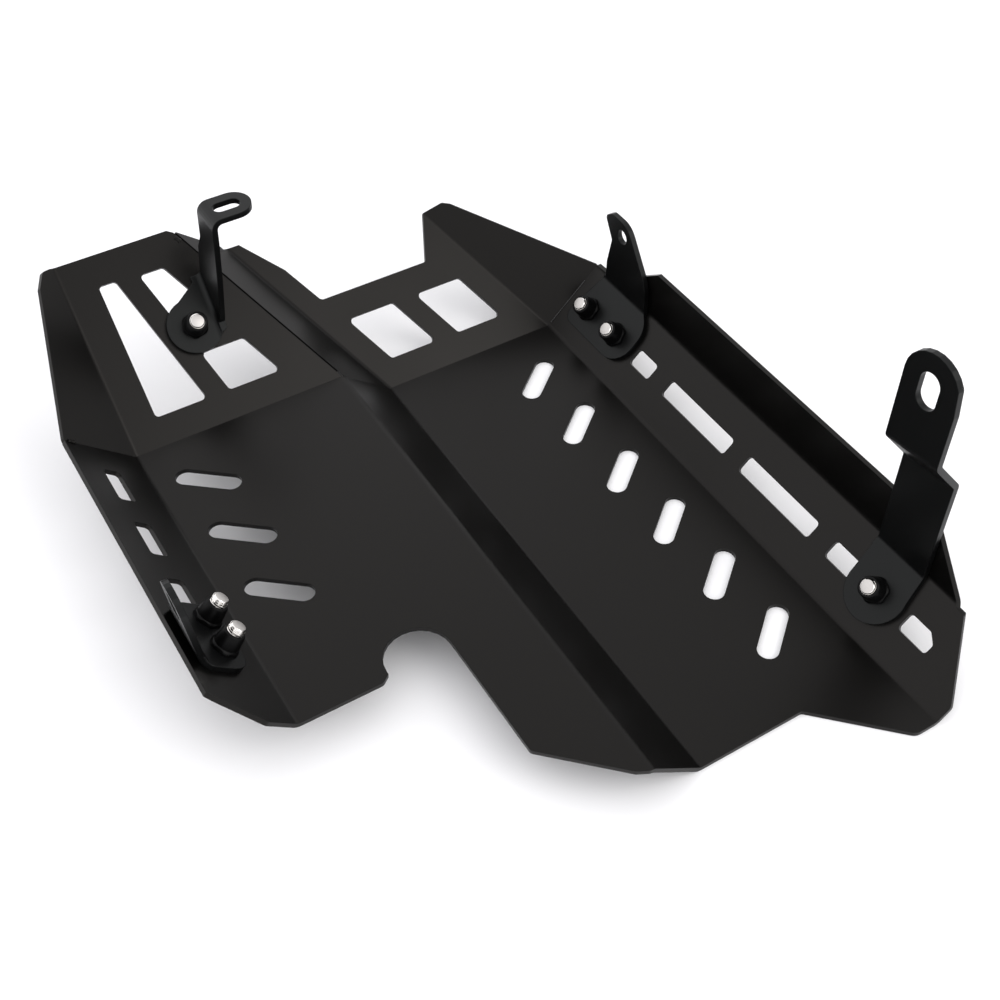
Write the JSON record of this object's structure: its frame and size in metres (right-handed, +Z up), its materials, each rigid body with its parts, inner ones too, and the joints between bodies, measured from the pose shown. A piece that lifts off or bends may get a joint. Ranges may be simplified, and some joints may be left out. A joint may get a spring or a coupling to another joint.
{
  "type": "motorcycle skid plate",
  "caption": "Folded and welded sheet-metal skid plate with slots and windows, raised side wings and bolted brackets that hang it under a motorcycle engine.",
  "frame": {"origin": "middle of the floor panel's underside, between its two folds and its two ends", "axes": "+X to the right, +Y to the front of the motorcycle, +Z up; the floor panel lies on Z = 0"},
  "size_m": [0.3206, 0.407, 0.1674],
  "materials": {
    "plate_coat": "satin black powder coat",
    "bracket_coat": "semi-gloss black powder coat",
    "stainless": "bright stainless steel",
    "nut_black": "black oxide"
  },
  "bodies": {
    "root": {"skid_plate": "plate_coat", "bracket_front_left": "bracket_coat", "bracket_front_right": "bracket_coat", "bracket_rear_left": "bracket_coat", "bracket_rear_right": "bracket_coat", "bolt_front_left": "stainless", "bolt_fin_front": "stainless", "bolt_fin_rear": "stainless", "bolt_rear_right": "stainless", "bolt_left_front": "stainless", "bolt_left_rear": "stainless", "nut_front_left": "nut_black", "nut_fin_front": "nut_black", "nut_fin_rear": "nut_black", "nut_rear_right": "nut_black", "nut_left_front": "nut_black", "nut_left_rear": "nut_black", "washer_front_left": "stainless", "washer_fin_front": "stainless", "washer_fin_rear": "stainless", "washer_rear_right": "stainless", "washer_left_front": "stainless", "washer_left_rear": "stainless"}
  },
  "joints": []
}
